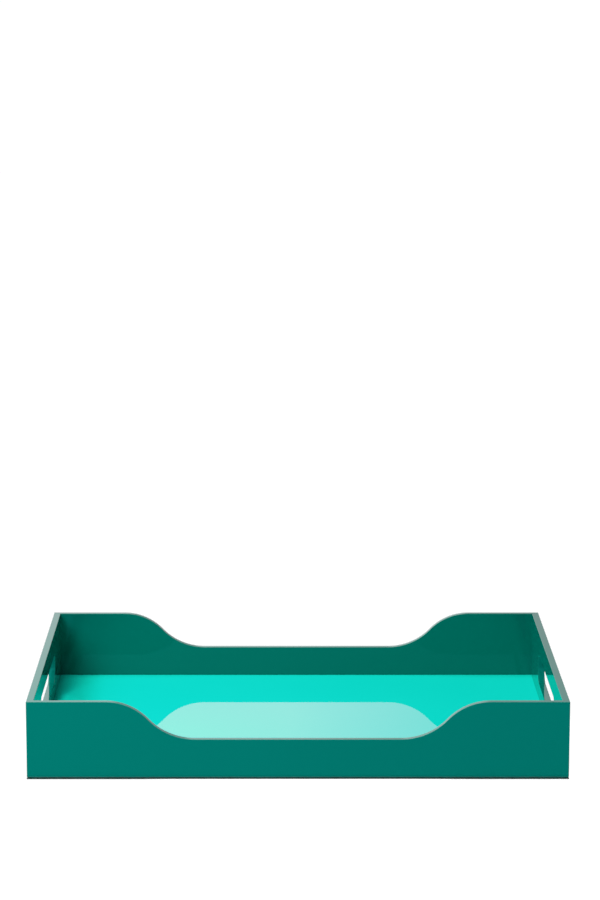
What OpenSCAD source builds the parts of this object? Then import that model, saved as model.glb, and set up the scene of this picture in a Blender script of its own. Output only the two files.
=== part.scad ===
// Serving tray of gloss-lacquered board: four mitred side boards, the long pair scooped low
// in the middle, the end pair with a long hand slot, round a floor board let into a rebate.
// Felt lines the underside. The origin is under the middle of the felt, +X along the long
// sides, +Y towards the back, +Z up. Millimetres.

/* [Tray] */
// Length over the end boards
tray_l = 500; // [420:5:600]
// Width over the long sides
tray_w = 350; // [280:5:420]
// Height of the side boards
side_h = 71.4; // [62:0.2:90]
// Thickness of the side boards, lacquer included
board_t = 6.7; // [5.5:0.1:9]

/* [Scooped long sides] */
// Height of a long side at the bottom of its dip
dip_h = 35.8; // [28:0.2:44]
// Length of the level bottom of the dip
dip_l = 190; // [120:5:210]
// Length of the S-curve from the dip up to a shoulder
ogee_l = 82.5; // [66:0.5:95]
// Radius of the rounded shoulder
shoulder_r = 54.5; // [44:0.5:62]

/* [Hand slots] */
// Length of a hand slot from round end to round end
slot_l = 180; // [100:5:220]
// Height of a hand slot
slot_h = 28; // [20:1:34]
// Height of a slot's lower edge above the lower edge of its board
slot_sill = 22; // [14:1:26]

/* [Floor board] */
// Thickness of the floor board, lacquer included
floor_t = 6.4; // [4:0.1:9]
// How deep the floor board is let into the side boards
rebate_d = 3; // [2:0.5:3.5]
// Glue gap between the floor board's edges and the rebate
floor_gap = 0.1; // [0.05:0.05:0.5]

/* [Felt] */
// Thickness of the felt under the tray
felt_t = 1.5; // [1:0.1:3]
// How far the felt stays inside the outer faces
felt_inset = 4.5; // [2:0.5:12]

/* [Brads] */
// Diameter of a brad's shank
shank_d = 1.2; // [1:0.1:1.5]
// Diameter of a brad's head
head_d = 1.9; // [1.7:0.1:2.2]
// Thickness of a brad's head
head_t = 0.6; // [0.4:0.1:0.9]
// Length of a brad's point
point_l = 1.8; // [1:0.2:3]
// Depth of a brad's head under the lacquered face
set_depth = 1; // [0.6:0.1:1.4]
// Clearance round a brad in its hole
brad_gap = 0.02; // [0.01:0.01:0.05]
// Length of the brads through the mitred corners
corner_brad_l = 20; // [14:1:30]
// Number of brads in each corner
corner_brads_n = 3; // [2:1:4]
// Distance of the outermost corner brads from the floor and from the top edge
corner_brad_margin = 10; // [6:1:16]
// Length of the brads into the edge of the floor board
floor_brad_l = 15; // [10:1:22]
// Number of floor brads through each long side
long_brads_n = 4; // [2:1:6]
// Number of floor brads through each end board
end_brads_n = 3; // [2:1:4]
// Distance of the outermost floor brads from the tray's corners
floor_brad_margin = 45; // [30:5:80]

/* [Hidden] */
$fn = 96;
frame_colour = [0.0, 0.47, 0.43];
floor_colour = [0.08, 0.84, 0.78];
felt_colour = [0.07, 0.08, 0.08];
steel_colour = [0.7, 0.71, 0.72];
cut = 1; // how far a cutter runs past the face it opens

// The S-curve is two arcs that meet with a common tangent, tipped at slope_angle
drop = side_h - dip_h;
slope_angle = 2 * atan(drop / ogee_l);
hollow_r = ogee_l / sin(slope_angle) - shoulder_r;
hollow_x = dip_l / 2;
shoulder_x = hollow_x + ogee_l;
meet_x = hollow_x + hollow_r * sin(slope_angle);
meet_z = dip_h + hollow_r * (1 - cos(slope_angle));

recess_l = tray_l - 2 * (board_t - rebate_d);
recess_w = tray_w - 2 * (board_t - rebate_d);

// Evenly spaced places from first to last
function places(first, last, count) = [for (i = [0:count - 1]) first + i * (last - first) / (count - 1)];

// Outline of a long side, standing on y = 0: low in the middle, rising to a shoulder at each end
module scooped_outline() {
    translate([-tray_l / 2, 0]) square([tray_l, dip_h]);
    for (end = [0, 1]) mirror([end, 0]) {
        translate([shoulder_x, 0]) square([tray_l / 2 - shoulder_x, side_h]);
        difference() {
            translate([hollow_x, 0]) square([meet_x - hollow_x, meet_z]);
            translate([hollow_x, dip_h + hollow_r]) circle(r = hollow_r);
        }
        intersection() {
            translate([meet_x, 0]) square([shoulder_x - meet_x, side_h]);
            translate([shoulder_x, side_h - shoulder_r]) circle(r = shoulder_r);
        }
    }
}

// Outline of an end board, standing on y = 0, with its long hand slot
module slotted_outline() {
    slot_r = slot_h / 2;
    difference() {
        translate([-tray_w / 2, 0]) square([tray_w, side_h]);
        translate([0, slot_sill + slot_r]) {
            square([slot_l - slot_h, slot_h], center = true);
            for (end = [-1, 1]) translate([end * (slot_l / 2 - slot_r), 0]) circle(r = slot_r);
        }
    }
}

// Plan of one board of the given length, lying along y = -width / 2, mitred at both ends
module mitred_plan(length, width) {
    outer = length / 2;
    inner = length / 2 - board_t;
    polygon([
        [-outer, -width / 2], [outer, -width / 2],
        [inner, -width / 2 + board_t], [-inner, -width / 2 + board_t]
    ]);
}

// The room that the rebates leave for the floor board
module floor_recess() {
    translate([-recess_l / 2, -recess_w / 2, felt_t - cut]) cube([recess_l, recess_w, floor_t + cut]);
}

// One brad, driven along +Z from the top of its head at z = 0
module brad(brad_l, gap = 0) {
    shank_r = shank_d / 2 + gap;
    head_r = head_d / 2 + gap;
    rotate_extrude() polygon([
        [0, 0], [head_r, 0], [head_r, head_t], [shank_r, head_t],
        [shank_r, brad_l - point_l], [0, brad_l]
    ]);
}

// Stands its children where the corner brads are: through a long side into the end board's edge
module at_corner_brads() {
    low = felt_t + floor_t + corner_brad_margin;
    high = felt_t + side_h - corner_brad_margin;
    for (end = [0, 1], side = [0, 1], z = places(low, high, corner_brads_n))
        mirror([end, 0, 0]) mirror([0, side, 0])
            translate([-(tray_l - board_t) / 2, -tray_w / 2 + set_depth, z]) rotate([-90, 0, 0]) children();
}

// Stands its children where the floor brads are: through each board's lower edge into the floor
module at_floor_brads() {
    z = felt_t + floor_t / 2;
    last_x = tray_l / 2 - floor_brad_margin;
    last_y = tray_w / 2 - floor_brad_margin;
    for (side = [0, 1], x = places(-last_x, last_x, long_brads_n))
        mirror([0, side, 0]) translate([x, -tray_w / 2 + set_depth, z]) rotate([-90, 0, 0]) children();
    for (end = [0, 1], y = places(-last_y, last_y, end_brads_n))
        mirror([end, 0, 0]) translate([-tray_l / 2 + set_depth, y, z]) rotate([0, 90, 0]) children();
}

// Every brad hole, each the shape of its brad with the clearance round it
module brad_holes() {
    at_corner_brads() brad(corner_brad_l, brad_gap);
    at_floor_brads() brad(floor_brad_l, brad_gap);
}

// A long side at the front: scooped, mitred, rebated for the floor and holed for its brads
module long_side() {
    difference() {
        intersection() {
            translate([0, -tray_w / 2 + board_t, felt_t]) rotate([90, 0, 0])
                linear_extrude(board_t) scooped_outline();
            linear_extrude(felt_t + side_h) mitred_plan(tray_l, tray_w);
        }
        floor_recess();
        brad_holes();
    }
}

// An end board at the left: slotted, mitred, rebated for the floor and holed for its brads
module end_board() {
    difference() {
        intersection() {
            translate([-tray_l / 2, 0, felt_t]) rotate([90, 0, 90])
                linear_extrude(board_t) slotted_outline();
            rotate([0, 0, -90]) linear_extrude(felt_t + side_h) mitred_plan(tray_w, tray_l);
        }
        floor_recess();
        brad_holes();
    }
}

module front_side() { color(frame_colour) long_side(); }

module back_side() { color(frame_colour) mirror([0, 1, 0]) long_side(); }

module left_end() { color(frame_colour) end_board(); }

module right_end() { color(frame_colour) mirror([1, 0, 0]) end_board(); }

module floor_board() {
    board_l = recess_l - 2 * floor_gap;
    board_w = recess_w - 2 * floor_gap;
    color(floor_colour) difference() {
        translate([-board_l / 2, -board_w / 2, felt_t]) cube([board_l, board_w, floor_t]);
        brad_holes();
    }
}

module base_felt() {
    felt_l = tray_l - 2 * felt_inset;
    felt_w = tray_w - 2 * felt_inset;
    color(felt_colour) translate([-felt_l / 2, -felt_w / 2, 0]) cube([felt_l, felt_w, felt_t]);
}

module corner_brads() { color(steel_colour) at_corner_brads() brad(corner_brad_l); }

module floor_brads() { color(steel_colour) at_floor_brads() brad(floor_brad_l); }

front_side();
back_side();
left_end();
right_end();
floor_board();
base_felt();
corner_brads();
floor_brads();
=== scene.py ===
"""Gloss-lacquered serving tray: four mitred boards round a turquoise floor, on a felt base."""

import math

import bmesh
import bpy
from mathutils import Matrix, Vector


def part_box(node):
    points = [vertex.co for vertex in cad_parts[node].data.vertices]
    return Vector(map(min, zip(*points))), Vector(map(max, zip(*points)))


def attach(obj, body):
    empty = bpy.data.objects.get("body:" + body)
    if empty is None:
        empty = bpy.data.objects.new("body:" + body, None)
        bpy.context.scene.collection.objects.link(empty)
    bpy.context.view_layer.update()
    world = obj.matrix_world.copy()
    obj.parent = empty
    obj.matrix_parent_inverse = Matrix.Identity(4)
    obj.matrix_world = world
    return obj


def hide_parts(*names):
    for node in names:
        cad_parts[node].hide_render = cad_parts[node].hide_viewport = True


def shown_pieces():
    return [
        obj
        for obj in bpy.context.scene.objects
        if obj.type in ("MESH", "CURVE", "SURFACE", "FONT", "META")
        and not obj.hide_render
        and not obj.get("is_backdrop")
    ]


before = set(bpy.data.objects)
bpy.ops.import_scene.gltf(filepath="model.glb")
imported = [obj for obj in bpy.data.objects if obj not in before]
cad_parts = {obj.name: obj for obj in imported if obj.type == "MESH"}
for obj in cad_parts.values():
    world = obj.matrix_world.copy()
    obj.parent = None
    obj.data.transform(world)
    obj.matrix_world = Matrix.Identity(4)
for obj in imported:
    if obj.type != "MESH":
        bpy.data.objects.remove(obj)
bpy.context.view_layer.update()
MM = 0.001
scene = bpy.context.scene

# ---------------------------------------------------------------------------------------------
# The photograph's view: a long lens looks a little down on the tray from in front, and stands
# slightly left of its middle. These points of the photograph settle it.
photo_w, photo_h = 600, 900
photo_points = {
    "left_edge": (25.7, None),
    "right_edge": (569.9, None),
    "top_edge": (None, 612.3),
    "bottom_edge": (None, 778.7),
    "front_left_corner": (25.8, 702.4),
    "front_right_corner": (569.8, 702.2),
    "back_left_corner": (54.4, 612.4),
    "back_right_corner": (538.2, 612.4),
    "front_dip_middle": (297.0, 739.7),
    "back_dip_middle": (297.0, 645.7),
    "left_slot_far_end": (54.0, 659.0),
    "right_slot_far_end": (539.0, 659.0),
    "floor_at_back": (None, 674.8),
}
camera_place = Vector((-14.87, -2804.45, 794.63)) * MM
camera_pitch = math.radians(10.479)
camera_yaw = math.radians(0.353)
camera_roll = math.radians(0.088)
camera_lens = 118.41

ahead = Vector((math.sin(camera_yaw), math.cos(camera_yaw), 0))
across = Vector((math.cos(camera_yaw), -math.sin(camera_yaw), 0))
plumb = Vector((0, 0, 1))
sight = math.cos(camera_pitch) * ahead - math.sin(camera_pitch) * plumb
upright = math.sin(camera_pitch) * ahead + math.cos(camera_pitch) * plumb
camera_right = math.cos(camera_roll) * across + math.sin(camera_roll) * upright
camera_up = math.cos(camera_roll) * upright - math.sin(camera_roll) * across
camera_data = bpy.data.cameras.new("photo_view")
camera_data.sensor_fit = "AUTO"
camera_data.lens = camera_lens
camera = bpy.data.objects.new("photo_view", camera_data)
scene.collection.objects.link(camera)
axes = Matrix((camera_right, camera_up, -sight)).transposed()
camera.matrix_world = Matrix.Translation(camera_place) @ axes.to_4x4()
scene.camera = camera

# ---------------------------------------------------------------------------------------------
# The frame: four side boards of fibreboard, the long pair scooped low in the middle and the end
# pair pierced with a hand slot. They are mitred, glued and bradded into one ring, every arris is
# eased with paper, and the ring is sprayed with deep teal lacquer and polished.
front_low, front_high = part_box("front_side")
end_low, end_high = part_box("left_end")
tray_l = front_high.x - front_low.x
tray_w = end_high.y - end_low.y
board_t = front_high.y - front_low.y
foot_z = front_low.z
ring_sizes = {
    "Length": tray_l,
    "Width": tray_w,
    "Height": front_high.z - foot_z,
    "Foot": foot_z,
    "Board": board_t,
    "Dip height": 35.8 * MM,
    "Dip length": 190 * MM,
    "S-curve length": 82.5 * MM,
    "Shoulder radius": 54.5 * MM,
    "Slot length": 180 * MM,
    "Slot height": 28 * MM,
    "Slot sill": 22 * MM,
    "Floor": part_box("floor_board")[1].z - foot_z,
    "Rebate": 3 * MM,
}
arris_r = 0.4 * MM
arris_steps = 3
crease = math.radians(32)
teal = (0.0, 0.132, 0.110, 1)
deep_teal = (0.0, 0.125, 0.104, 1)
thin_teal = (0.01, 0.17, 0.14, 1)


class Figure:
    """A number inside a node tree. Arithmetic on it lays Math nodes."""

    def __init__(self, socket):
        self.socket = socket

    def math(self, operation, *others):
        tree = self.socket.id_data
        node = tree.nodes.new("ShaderNodeMath")
        node.operation = operation
        for slot, term in zip(node.inputs, (self, *others)):
            feed(slot, term)
        return Figure(node.outputs[0])

    def __add__(self, other):
        return self.math("ADD", other)

    def __sub__(self, other):
        return self.math("SUBTRACT", other)

    def __mul__(self, other):
        return self.math("MULTIPLY", other)

    def __truediv__(self, other):
        return self.math("DIVIDE", other)

    def root(self):
        return self.math("SQRT")

    def within(self, low, high):
        return self.math("MAXIMUM", low).math("MINIMUM", high)


def feed(slot, term):
    """Links a figure or a socket into a node's input, or writes a plain value there."""
    term = term.socket if isinstance(term, Figure) else term
    if isinstance(term, bpy.types.NodeSocket):
        slot.id_data.links.new(term, slot)
    else:
        slot.default_value = term


def lay(tree, kind, feeds=None, **settings):
    """Adds a node, sets it up and feeds its inputs; a list feeds one input several times."""
    node = tree.nodes.new(kind)
    for name, value in settings.items():
        setattr(node, name, value)
    for name, terms in (feeds or {}).items():
        for term in terms if isinstance(terms, list) else [terms]:
            feed(node.inputs[name], term)
    return node


def vector(tree, x=0.0, y=0.0, z=0.0):
    return lay(tree, "ShaderNodeCombineXYZ", {0: x, 1: y, 2: z}).outputs[0]


def parts_of(tree, socket):
    """The three figures of a vector socket."""
    return [Figure(part) for part in lay(tree, "ShaderNodeSeparateXYZ", {0: socket}).outputs]


def new_recipe(name, inputs):
    """A Geometry Nodes tree with named inputs, and those inputs by name."""
    tree = bpy.data.node_groups.new(name, "GeometryNodeTree")
    for label, kind in inputs.items():
        tree.interface.new_socket(label, in_out="INPUT", socket_type=kind)
    tree.interface.new_socket("Geometry", in_out="OUTPUT", socket_type="NodeSocketGeometry")
    given = tree.nodes.new("NodeGroupInput")
    return tree, {socket.name: socket for socket in given.outputs if socket.name}


def end_recipe(tree, geometry, finish):
    """Real geometry in its material is what leaves the tree."""
    real = lay(tree, "GeometryNodeRealizeInstances", {"Geometry": geometry}).outputs[0]
    done = lay(tree, "GeometryNodeSetMaterial", {"Geometry": real, "Material": finish})
    tree.links.new(done.outputs[0], tree.nodes.new("NodeGroupOutput").inputs[0])


def follow_recipe(tree, name, values):
    """An object whose shape the tree makes from these values."""
    made = bpy.data.objects.new(name, bpy.data.meshes.new(name))
    scene.collection.objects.link(made)
    modifier = made.modifiers.new(tree.name, "NODES")
    modifier.node_group = tree
    for item in tree.interface.items_tree:
        if item.in_out == "INPUT":
            modifier[item.identifier] = values[item.name]
    return made


def as_plain_mesh(made):
    """The object's evaluated shape as a plain mesh; the object itself goes."""
    seen = made.evaluated_get(bpy.context.evaluated_depsgraph_get())
    mesh = bpy.data.meshes.new_from_object(seen)
    bpy.data.objects.remove(made)
    return mesh


def block(tree, size_x, size_y, size_z, mid_z):
    """A box over the middle of the tray, with the middle of its height at mid_z."""
    cube = lay(tree, "GeometryNodeMeshCube", {"Size": vector(tree, size_x, size_y, size_z)})
    move = {"Geometry": cube.outputs[0], "Translation": vector(tree, z=mid_z)}
    return lay(tree, "GeometryNodeTransform", move).outputs[0]


def thicken(tree, sheet, offset):
    """A closed solid between a sheet and the same sheet moved by the offset."""
    far = lay(tree, "GeometryNodeExtrudeMesh", {"Mesh": sheet, "Offset": offset, "Individual": False})
    near = lay(tree, "GeometryNodeFlipFaces", {"Mesh": sheet})
    both = lay(tree, "GeometryNodeJoinGeometry", {0: [far.outputs[0], near.outputs[0]]})
    return lay(tree, "GeometryNodeMergeByDistance", {"Geometry": both.outputs[0]}).outputs[0]


def scoop_height(tree, size):
    """How high the scooped edge stands: a hollow arc and a shoulder arc with a common tangent."""
    drop = size["Height"] - size["Dip height"]
    slope = drop.math("ARCTAN2", size["S-curve length"]) * 2
    shoulder_r = size["Shoulder radius"]
    shoulder_run = shoulder_r * slope.math("SINE")
    hollow_run = size["S-curve length"] - shoulder_run
    hollow_r = hollow_run / slope.math("SINE")
    place_x, _, _ = parts_of(tree, lay(tree, "GeometryNodeInputPosition").outputs[0])
    from_hollow = place_x.math("ABSOLUTE") - size["Dip length"] / 2
    up_hollow = from_hollow.within(0.0, hollow_run)
    to_shoulder = shoulder_run - (from_hollow - hollow_run).within(0.0, shoulder_run)
    hollow_z = hollow_r - (hollow_r * hollow_r - up_hollow * up_hollow).root()
    shoulder_z = (shoulder_r * shoulder_r - to_shoulder * to_shoulder).root()
    shoulder_foot = (shoulder_r * shoulder_r - shoulder_run * shoulder_run).root()
    return size["Dip height"] + hollow_z + shoulder_z - shoulder_foot


def ring_recipe():
    """The whole frame as one ring: outer block less the well, floor rebate, scoops and slots."""
    kinds = {label: "NodeSocketFloat" for label in ring_sizes}
    kinds.update({"Edge steps": "NodeSocketInt", "Slot steps": "NodeSocketInt"})
    kinds["Finish"] = "NodeSocketMaterial"
    tree, given = new_recipe("scooped_frame", kinds)
    size = {label: Figure(given[label]) for label in ring_sizes}
    length, width, height, foot = (size[name] for name in ("Length", "Width", "Height", "Foot"))

    middle = foot + height / 2
    outer = block(tree, length, width, height, middle)
    walls = size["Board"] * 2
    well = block(tree, length - walls, width - walls, height, middle + size["Floor"])
    ledges = walls - size["Rebate"] * 2
    rebate = block(tree, length - ledges, width - ledges, size["Floor"] * 2, foot)

    sheet = {
        "Size X": size["Dip length"] + size["S-curve length"] * 2,
        "Size Y": width * 2,
        "Vertices X": given["Edge steps"],
        "Vertices Y": 2,
    }
    sheet = lay(tree, "GeometryNodeMeshGrid", sheet).outputs[0]
    edge = vector(tree, z=foot + scoop_height(tree, size))
    sheet = lay(tree, "GeometryNodeSetPosition", {"Geometry": sheet, "Offset": edge}).outputs[0]
    scoops = thicken(tree, sheet, vector(tree, z=height))

    slot = {"Width": size["Slot height"], "Height": size["Slot length"]}
    slot = lay(tree, "GeometryNodeCurvePrimitiveQuadrilateral", slot).outputs[0]
    round_ends = {"Curve": slot, "Radius": size["Slot height"] / 2, "Limit Radius": True}
    round_ends["Count"] = given["Slot steps"]
    slot = lay(tree, "GeometryNodeFilletCurve", round_ends, mode="POLY").outputs[0]
    slot = lay(tree, "GeometryNodeFillCurve", {"Curve": slot}, mode="NGONS").outputs[0]
    slot_z = foot + size["Slot sill"] + size["Slot height"] / 2
    upend = {
        "Geometry": slot,
        "Rotation": (0, math.pi / 2, 0),
        "Translation": vector(tree, length * -1, z=slot_z),
    }
    slot = lay(tree, "GeometryNodeTransform", upend).outputs[0]
    slots = thicken(tree, slot, vector(tree, length * 2))

    cuts = {"Mesh 1": outer, "Mesh 2": [well, rebate, scoops, slots]}
    ring = lay(tree, "GeometryNodeMeshBoolean", cuts, solver="EXACT", operation="DIFFERENCE")
    end_recipe(tree, ring.outputs[0], given["Finish"])
    return tree


def ease_arrises(ring):
    """Rounds the ring's sharp outer edges and marks the narrow faces that this makes."""
    work = bmesh.new()
    work.from_mesh(ring)
    arris = work.faces.layers.float.new("arris")
    sharp = [edge for edge in work.edges if edge.calc_face_angle_signed() > crease]
    rounding = {"offset": arris_r, "segments": arris_steps, "profile": 0.5, "affect": "EDGES"}
    eased = bmesh.ops.bevel(work, geom=sharp, clamp_overlap=True, loop_slide=True, **rounding)
    for face in eased["faces"]:
        face[arris] = 1
    work.to_mesh(ring)
    work.free()


def spread(tree, value, low, high, at_low=0.0, at_high=1.0):
    """A value spread so that low gives at_low and high gives at_high."""
    feeds = {"Value": value, "From Min": low, "From Max": high}
    feeds.update({"To Min": at_low, "To Max": at_high})
    return Figure(lay(tree, "ShaderNodeMapRange", feeds).outputs[0])


def grain(tree, place, scale, detail, low, high):
    """Noise of so many lumps to the metre, spread so that low gives 0 and high gives 1."""
    feeds = {"Vector": place, "Scale": scale, "Detail": detail, "Roughness": 0.55}
    noise = lay(tree, "ShaderNodeTexNoise", feeds).outputs["Fac"]
    return spread(tree, noise, low, high)


def turned(tree, place, rotation, scale):
    """The place turned and stretched, so that a grain laid on it runs one way."""
    feeds = {"Vector": place, "Rotation": rotation, "Scale": scale}
    return lay(tree, "ShaderNodeMapping", feeds).outputs[0]


def blend(tree, share, one, other):
    return lay(tree, "ShaderNodeMix", {0: share, 6: one, 7: other}, data_type="RGBA").outputs[2]


def film_recipe():
    """Sprayed, polished lacquer: faint clouds, thin arrises, hairlines, nibs and orange peel."""
    tree = bpy.data.node_groups.new("lacquer_film", "ShaderNodeTree")
    sockets = tree.interface
    for label in ("Full", "Deep", "Thin"):
        sockets.new_socket(label, in_out="INPUT", socket_type="NodeSocketColor")
    for label in ("Cloudiness", "Arris wear", "Polish"):
        sockets.new_socket(label, in_out="INPUT", socket_type="NodeSocketFloat")
    sockets.new_socket("Colour", in_out="OUTPUT", socket_type="NodeSocketColor")
    sockets.new_socket("Roughness", in_out="OUTPUT", socket_type="NodeSocketFloat")
    sockets.new_socket("Height", in_out="OUTPUT", socket_type="NodeSocketFloat")
    given = tree.nodes.new("NodeGroupInput").outputs
    place = lay(tree, "ShaderNodeTexCoord").outputs["Object"]

    cloud = grain(tree, place, scale=7, detail=3, low=0.3, high=0.7) * given["Cloudiness"]
    colour = blend(tree, cloud, given["Full"], given["Deep"])
    arris = Figure(lay(tree, "ShaderNodeAttribute", attribute_name="arris").outputs["Fac"])
    rubbing = grain(tree, place, scale=90, detail=4, low=0.35, high=0.75)
    rubbed = arris * rubbing * given["Arris wear"]
    colour = blend(tree, rubbed, colour, given["Thin"])
    dust = lay(tree, "ShaderNodeTexVoronoi", {"Vector": place, "Scale": 34}).outputs["Distance"]
    nibs = spread(tree, dust, low=0.0, high=0.012, at_low=1.0, at_high=0.0)
    hairline = (9, 1100, 60)
    one_way, other_way = [
        grain(tree, turned(tree, place, rotation, hairline), scale=1, detail=1, low=0.69, high=0.8)
        for rotation in ((0.3, 0.2, 0.5), (0.3, 0.2, 2.2))
    ]
    marks = one_way + other_way
    haze = grain(tree, place, scale=16, detail=2, low=0.3, high=0.8)
    rough = haze * 0.008 + marks * 0.02 + rubbed * 0.1 + given["Polish"]
    peel = grain(tree, place, scale=240, detail=1, low=0.2, high=0.8)
    ends = lay(tree, "NodeGroupOutput").inputs
    for slot, term in zip(ends, (colour, rough, peel + nibs * 4)):
        feed(slot, term)
    return tree


def new_material(name):
    """A material's tree and its main shader."""
    material = bpy.data.materials.new(name)
    material.use_nodes = True
    return material, material.node_tree, material.node_tree.nodes["Principled BSDF"].inputs


def lacquer(name, cold_tint, **looks):
    """A glossy lacquer. The cold tint keeps square-on reflections in the lacquer's own hue."""
    material, tree, shader = new_material(name)
    film = lay(tree, "ShaderNodeGroup", node_tree=lacquer_film)
    for label, value in looks.items():
        feed(film.inputs[label.replace("_", " ")], value)
    relief = {"Height": film.outputs["Height"], "Distance": 0.0006 * MM}
    feed(shader["Base Color"], film.outputs["Colour"])
    feed(shader["Roughness"], film.outputs["Roughness"])
    feed(shader["Normal"], lay(tree, "ShaderNodeBump", relief).outputs[0])
    feed(shader["Specular Tint"], cold_tint)
    return material


def saw_out(ring, name, outward):
    """Saws one board out of the ring along the two mitres and closes the cut ends."""
    half = Vector((tray_l / 2, tray_w / 2, 0))
    along = Vector((-outward.y, outward.x, 0))
    work = bmesh.new()
    work.from_mesh(ring)
    for face in work.faces:
        face.material_index = 0
        face.smooth = True
    for side in (-1, 1):
        corner = (outward + along * side) * half
        everything = work.verts[:] + work.edges[:] + work.faces[:]
        cut = {"plane_co": corner, "plane_no": along * side - outward, "clear_outer": True}
        bmesh.ops.bisect_plane(work, geom=everything, **cut)
        open_edges = [edge for edge in work.edges if edge.is_boundary]
        bmesh.ops.holes_fill(work, edges=open_edges)
    bmesh.ops.remove_doubles(work, verts=work.verts, dist=0.01 * MM)
    for edge in work.edges:
        edge.smooth = edge.calc_face_angle() < crease
    mesh = bpy.data.meshes.new(name)
    work.to_mesh(mesh)
    work.free()
    mesh.materials.append(teal_lacquer)
    board = bpy.data.objects.new(name, mesh)
    scene.collection.objects.link(board)
    shading = board.modifiers.new("flat_faces", "WEIGHTED_NORMAL")
    shading.weight = 90
    shading.keep_sharp = True
    return board


lacquer_film = film_recipe()
teal_lacquer = lacquer(
    "teal_lacquer",
    (0.05, 0.9, 0.8, 1),
    Full=teal,
    Deep=deep_teal,
    Thin=thin_teal,
    Cloudiness=0.5,
    Arris_wear=0.6,
    Polish=0.012,
)
ring_values = {**ring_sizes, "Edge steps": 141, "Slot steps": 16, "Finish": teal_lacquer}
ring_mesh = as_plain_mesh(follow_recipe(ring_recipe(), "frame_ring", ring_values))
ease_arrises(ring_mesh)
boards = {
    "front_side": ("front_board", Vector((0, -1, 0))),
    "back_side": ("back_board", Vector((0, 1, 0))),
    "left_end": ("left_end_board", Vector((-1, 0, 0))),
    "right_end": ("right_end_board", Vector((1, 0, 0))),
}
for node, (name, outward) in boards.items():
    board = saw_out(ring_mesh, name, outward)
    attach(board, "root")
    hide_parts(node)

# ---------------------------------------------------------------------------------------------
# The floor board: thin fibreboard sprayed turquoise on its own before it is let into the
# rebates, so its edge meets the teal sides in a clean line.
turquoise = (0.004, 0.70, 0.61, 1)
deep_turquoise = (0.002, 0.68, 0.595, 1)


def refinish(node, material):
    """A CAD piece keeps its mesh and takes this material."""
    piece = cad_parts[node]
    piece.data.materials.clear()
    piece.data.materials.append(material)


turquoise_lacquer = lacquer(
    "turquoise_lacquer",
    (1, 1, 1, 1),
    Full=turquoise,
    Deep=deep_turquoise,
    Cloudiness=0.6,
    Polish=0.01,
)
refinish("floor_board", turquoise_lacquer)

# ---------------------------------------------------------------------------------------------
# The brads: short headed pins of drawn steel wire, twelve across the mitres and fourteen through
# the sides into the floor board's edge. They are set below the surface and stopped before spraying.
bright_wire = (0.56, 0.57, 0.58, 1)
scaled_wire = (0.30, 0.29, 0.28, 1)

wire, tree, shader = new_material("drawn_steel_wire")
place = lay(tree, "ShaderNodeTexCoord").outputs["Object"]
drawn = turned(tree, place, rotation=(0, 0, 0), scale=(4000, 4000, 300))
die_marks = grain(tree, drawn, scale=1, detail=2, low=0.35, high=0.65)
mill_scale = grain(tree, place, scale=900, detail=3, low=0.5, high=0.7)
feed(shader["Base Color"], blend(tree, mill_scale * 0.7, bright_wire, scaled_wire))
feed(shader["Roughness"], die_marks * 0.15 + mill_scale * 0.2 + 0.25)
draw_lines = {"Height": die_marks, "Distance": 0.004 * MM}
feed(shader["Normal"], lay(tree, "ShaderNodeBump", draw_lines).outputs[0])
feed(shader["Metallic"], 1.0)
refinish("corner_brads", wire)
refinish("floor_brads", wire)

# ---------------------------------------------------------------------------------------------
# The base felt: one sheet of dark wool felt glued under the frame a little inside its edge. It
# is knife-cut, so its edge wavers a little and is fuzzy, and the underside is matted wool.
felt_low, felt_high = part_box("base_felt")
felt_sizes = {
    "Length": felt_high.x - felt_low.x,
    "Width": felt_high.y - felt_low.y,
    "Thickness": felt_high.z - felt_low.z,
    "Step": 4 * MM,
    "Waver": 0.5 * MM,
    "Waves to the metre": 40.0,
    "Fibre length": 1.1 * MM,
    "Fibre radius": 0.03 * MM,
    "Tip radius": 0.009 * MM,
    "Edge fibres": 1.5e6,
    "Under fibres": 1.6e4,
}
charcoal = (0.028, 0.032, 0.034, 1)
pale_charcoal = (0.085, 0.092, 0.096, 1)


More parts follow.
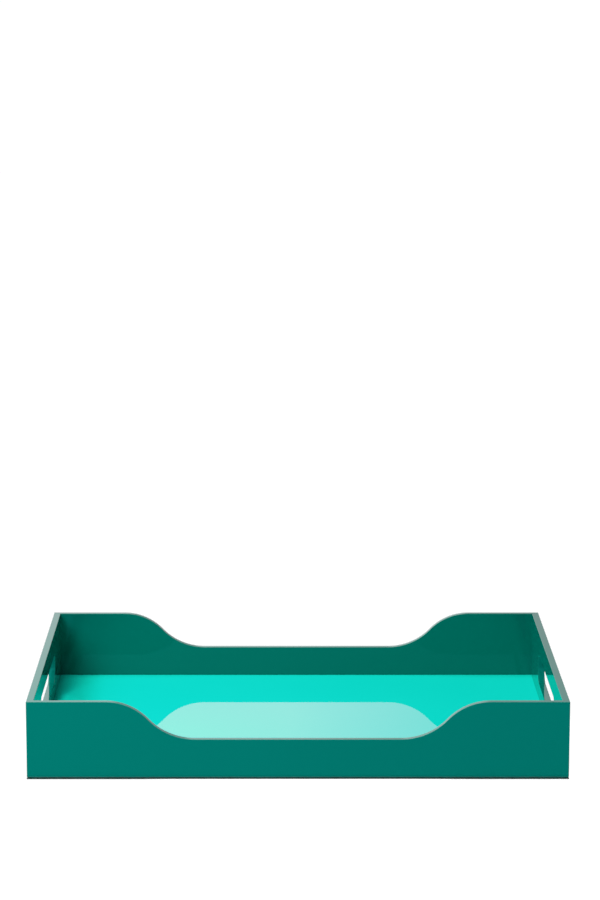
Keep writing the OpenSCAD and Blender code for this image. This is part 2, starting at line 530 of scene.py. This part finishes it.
def felt_recipe():
    """The cut sheet, with single wool fibres out of its edge and flat along its underside."""
    kinds = {label: "NodeSocketFloat" for label in felt_sizes}
    kinds.update({"Seed": "NodeSocketInt", "Finish": "NodeSocketMaterial"})
    tree, given = new_recipe("cut_felt", kinds)
    size = {label: Figure(given[label]) for label in felt_sizes}
    under_nap = size["Fibre radius"]

    sheet = {
        "Size X": size["Length"] - size["Waver"],
        "Size Y": size["Width"] - size["Waver"],
        "Vertices X": size["Length"] / size["Step"],
        "Vertices Y": size["Width"] / size["Step"],
    }
    sheet = lay(tree, "GeometryNodeMeshGrid", sheet).outputs[0]
    place = lay(tree, "GeometryNodeInputPosition").outputs[0]
    waves = {"Vector": place, "Scale": size["Waves to the metre"]}
    waver = lay(tree, "ShaderNodeTexNoise", waves).outputs["Color"]
    to_x, to_y, _ = [(part - 0.5) * size["Waver"] for part in parts_of(tree, waver)]
    shake = {"Geometry": sheet, "Offset": vector(tree, to_x, to_y, under_nap)}
    sheet = lay(tree, "GeometryNodeSetPosition", shake).outputs[0]
    body = thicken(tree, sheet, vector(tree, z=size["Thickness"] - under_nap))

    fibre = {
        "Vertices": 3,
        "Radius Top": size["Tip radius"],
        "Radius Bottom": size["Fibre radius"],
        "Depth": size["Fibre length"],
    }
    fibre = lay(tree, "GeometryNodeMeshCone", fibre).outputs[0]
    _, _, facing = parts_of(tree, lay(tree, "GeometryNodeInputNormal").outputs[0])
    downward = facing.math("LESS_THAN", -0.5)
    sideways = facing.math("ABSOLUTE").math("LESS_THAN", 0.5)
    bodies = [body]
    for label, where, rise in (("Edge fibres", sideways, 1), ("Under fibres", downward, 0)):
        dots = {"Mesh": body, "Selection": where, "Density": size[label], "Seed": given["Seed"]}
        dots = lay(tree, "GeometryNodeDistributePointsOnFaces", dots)
        stray = {"Min": (-1, -1, 0), "Max": (1, 1, 0), "Seed": given["Seed"]}
        stray = lay(tree, "FunctionNodeRandomValue", stray, data_type="FLOAT_VECTOR").outputs[0]
        lie = {0: dots.outputs["Normal"], 1: (rise, rise, 0), 2: stray}
        lie = lay(tree, "ShaderNodeVectorMath", lie, operation="MULTIPLY_ADD").outputs[0]
        heading = lay(tree, "FunctionNodeAlignRotationToVector", {"Vector": lie}, axis="Z").outputs[0]
        stand = {"Points": dots.outputs[0], "Instance": fibre, "Rotation": heading}
        hairs = lay(tree, "GeometryNodeInstanceOnPoints", stand).outputs[0]
        bodies.append(lay(tree, "GeometryNodeRealizeInstances", {"Geometry": hairs}).outputs[0])
    felt = lay(tree, "GeometryNodeJoinGeometry", {0: bodies}).outputs[0]
    end_recipe(tree, felt, given["Finish"])
    return tree


wool, tree, shader = new_material("wool_felt")
place = lay(tree, "ShaderNodeTexCoord").outputs["Object"]
mat = grain(tree, place, scale=1500, detail=5, low=0.3, high=0.7)
clumps = grain(tree, place, scale=120, detail=4, low=0.4, high=0.62)
strand = (400, 2400, 900)
first, second, third = [
    grain(tree, turned(tree, place, (0, 0, heading), strand), scale=1, detail=2, low=0.4, high=0.65)
    for heading in (0.2, 1.25, 2.3)
]
strands = first.math("MAXIMUM", second).math("MAXIMUM", third)
matted = mat * 0.5 + clumps * 0.3 + strands * 0.28
nap = {"Height": matted, "Distance": 0.12 * MM}
feed(shader["Base Color"], blend(tree, matted, charcoal, pale_charcoal))
feed(shader["Roughness"], clumps * 0.08 + 0.88)
feed(shader["Normal"], lay(tree, "ShaderNodeBump", nap).outputs[0])
feed(shader["Sheen Weight"], 0.35)
feed(shader["Sheen Roughness"], 0.45)
feed(shader["Specular IOR Level"], 0.2)
felt_values = {**felt_sizes, "Seed": 5, "Finish": wool}
felt_mesh = as_plain_mesh(follow_recipe(felt_recipe(), "felt_sheet", felt_values))
felt = bpy.data.objects.new("felt_pad", felt_mesh)
scene.collection.objects.link(felt)
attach(felt, "root")
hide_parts("base_felt")

# ---------------------------------------------------------------------------------------------
# The studio: white paper under a white surround. A large soft light hangs overhead to the left
# and a small one stands low at the front left; neither shows in the gloss. A wash from almost
# straight above keeps the paper white and leaves a thin line of shadow along the tray's front.
stage_half = 6.0
paper_to_eye = 0.42
paper_in_gloss = 0.065
paper_to_tray = 0.6
contact_reach = 5 * MM
sky_to_eye = 1.2
sky_in_gloss = (0.93, 0.815, 0.855, 1)
gloss_ahead = 1.36
gloss_fall = 9.0
gloss_dimmest = 0.8
gloss_brightest = 1.33
light_from_above = 0.05
light_from_below = 0.7
wash_lean = math.radians(1.2)

stage_mesh = bpy.data.meshes.new("studio_floor")
corners = [(-1, -1), (1, -1), (1, 1), (-1, 1)]
stage_mesh.from_pydata([(x * stage_half, y * stage_half, 0) for x, y in corners], [], [(0, 1, 2, 3)])
studio_floor = bpy.data.objects.new("studio_floor", stage_mesh)
scene.collection.objects.link(studio_floor)
paper, tree, shader = new_material("white_paper")
rays = lay(tree, "ShaderNodeLightPath").outputs
seen_direct = Figure(rays["Is Camera Ray"])
in_gloss = Figure(rays["Is Glossy Ray"])
paper_white = seen_direct * (paper_to_eye - paper_to_tray) + paper_to_tray
paper_white = paper_white + in_gloss * (paper_in_gloss - paper_to_tray)
feed(shader["Base Color"], paper_white)
feed(shader["Roughness"], 0.9)
feed(shader["Specular IOR Level"], 0.0)
# Close under the tray, and from below, rays pass through the paper: the underside is lit and seen.
from_below = lay(tree, "ShaderNodeNewGeometry").outputs["Backfacing"]
in_contact = Figure(rays["Ray Length"]).math("LESS_THAN", contact_reach)
in_contact = in_contact * (seen_direct * -1.0 + 1.0)
paper_face = tree.nodes["Principled BSDF"].outputs[0]
clear = lay(tree, "ShaderNodeBsdfTransparent").outputs[0]
see_through = in_contact.math("MAXIMUM", from_below)
one_way = lay(tree, "ShaderNodeMixShader", {0: see_through, 1: paper_face, 2: clear})
feed(tree.nodes["Material Output"].inputs["Surface"], one_way.outputs[0])
stage_mesh.materials.append(paper)
studio_floor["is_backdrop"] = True

tray_things = bpy.data.collections.new("lit_by_key")
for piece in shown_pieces():
    tray_things.objects.link(piece)
floor_things = bpy.data.collections.new("lit_by_wash")
floor_things.objects.link(studio_floor)


def softbox(name, place, size, watts, colour):
    """A square soft light aimed at the tray. It leaves the paper alone and isn't mirrored."""
    data = bpy.data.lights.new(name, "AREA")
    data.size = size
    data.energy = watts
    data.color = colour
    light = bpy.data.objects.new(name, data)
    scene.collection.objects.link(light)
    aim = (Vector((0, 0, 0.03)) - place).to_track_quat("-Z", "Y")
    light.matrix_world = Matrix.Translation(place) @ aim.to_matrix().to_4x4()
    light.light_linking.receiver_collection = tray_things
    light.visible_glossy = False


overhead = Vector((-1.0, -0.23, 2.68))
front_left = Vector((-0.7, -0.8, 0.8))
softbox("overhead_softbox", overhead, size=2.0, watts=102, colour=(1, 1, 0.88))
softbox("front_softbox", front_left, size=0.6, watts=10.3, colour=(1, 1, 1))
wash_data = bpy.data.lights.new("floor_wash", "SUN")
wash_data.energy = 9.4
wash_data.angle = math.radians(1)
wash = bpy.data.objects.new("floor_wash", wash_data)
wash.rotation_euler.x = -wash_lean
scene.collection.objects.link(wash)
wash.light_linking.receiver_collection = floor_things

world = bpy.data.worlds.new("white_studio")
world.use_nodes = True
scene.world = world
tree = world.node_tree
tree.nodes.clear()
rays = lay(tree, "ShaderNodeLightPath").outputs
seen_direct = Figure(rays["Is Camera Ray"])
heading_x, _, heading_z = parts_of(tree, lay(tree, "ShaderNodeTexCoord").outputs["Generated"])
gloss_strength = (heading_x * -gloss_fall + gloss_ahead).within(gloss_dimmest, gloss_brightest)
downward = heading_z.math("LESS_THAN", 0.0)
dull_strength = downward * (light_from_below - light_from_above) + light_from_above
strength = seen_direct * sky_to_eye + Figure(rays["Is Glossy Ray"]) * gloss_strength
strength = strength + Figure(rays["Is Diffuse Ray"]) * dull_strength
colour = blend(tree, rays["Is Glossy Ray"], (1, 1, 1, 1), sky_in_gloss)
sky = lay(tree, "ShaderNodeBackground", {"Color": colour, "Strength": strength})
feed(lay(tree, "ShaderNodeOutputWorld").inputs["Surface"], sky.outputs[0])

# The film keeps tones as they are up to 0.6 and holds the brighter ones back, to white at 1.15.
film = scene.view_settings
film.view_transform = "Standard"
film.use_curve_mapping = True
white = 1.15
film.curve_mapping.white_level = (white, white, white)
combined_curve = film.curve_mapping.curves[3]
for light_in, light_out in ((0.3, 0.3), (0.6, 0.6), (0.75, 0.7), (0.97, 0.8)):
    combined_curve.points.new(light_in / white, light_out)
film.curve_mapping.update()

# ---------------------------------------------------------------------------------------------
# How many pixels lie between each point of the photograph and the place where its part of the tray
# shows.
inward = Vector((board_t, board_t, 0))
inner_half = Vector((tray_l, tray_w, 0)) / 2 - inward
slot_r = ring_sizes["Slot height"] / 2
turn_in = slot_r * math.sin(math.radians(45))
slot_turn_y = ring_sizes["Slot length"] / 2 - slot_r + turn_in
slot_turn_z = foot_z + ring_sizes["Slot sill"] + slot_r + turn_in
rim_z = front_high.z
dip_z = foot_z + ring_sizes["Dip height"]
things = {
    "front_left_corner": ("front_board", (front_low.x, front_low.y, rim_z)),
    "front_right_corner": ("front_board", (front_high.x, front_low.y, rim_z)),
    "back_left_corner": ("back_board", (front_low.x, end_high.y, rim_z)),
    "back_right_corner": ("back_board", (front_high.x, end_high.y, rim_z)),
    "front_dip_middle": ("front_board", (0, front_low.y, dip_z)),
    "back_dip_middle": ("back_board", (0, end_high.y, dip_z)),
    "left_slot_far_end": ("left_end_board", (-inner_half.x, slot_turn_y, slot_turn_z)),
    "right_slot_far_end": ("right_end_board", (inner_half.x, slot_turn_y, slot_turn_z)),
    "floor_at_back": ("back_board", (None, inner_half.y, foot_z + ring_sizes["Floor"])),
}


def in_photo(point):
    """Where a point of the object shows in the photograph's frame."""
    local = camera.matrix_world.inverted() @ Vector(point)
    reach = max(photo_w, photo_h) * camera_lens / camera_data.sensor_width / -local.z
    return photo_w / 2 + local.x * reach, photo_h / 2 - local.y * reach


def off_target(place, target):
    """How far a place is from a target; an axis that the target leaves out doesn't count."""
    return math.hypot(*(at - aim for at, aim in zip(place, target) if aim is not None))


seen = {piece.name: [in_photo(vertex.co) for vertex in piece.data.vertices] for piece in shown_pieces()}
every = [place for places in seen.values() for place in places]
shown = {
    "left_edge": min(every),
    "right_edge": max(every),
    "top_edge": min(every, key=lambda place: place[1]),
    "bottom_edge": max(every, key=lambda place: place[1]),
}
for name, (piece_name, target) in things.items():
    vertices = bpy.data.objects[piece_name].data.vertices
    shown[name] = in_photo(min(vertices, key=lambda vertex: off_target(vertex.co, target)).co)
for name, point in photo_points.items():
    pairs = zip(point, shown[name])
    [None if mark is None else round(place - mark, 2) for mark, place in pairs]
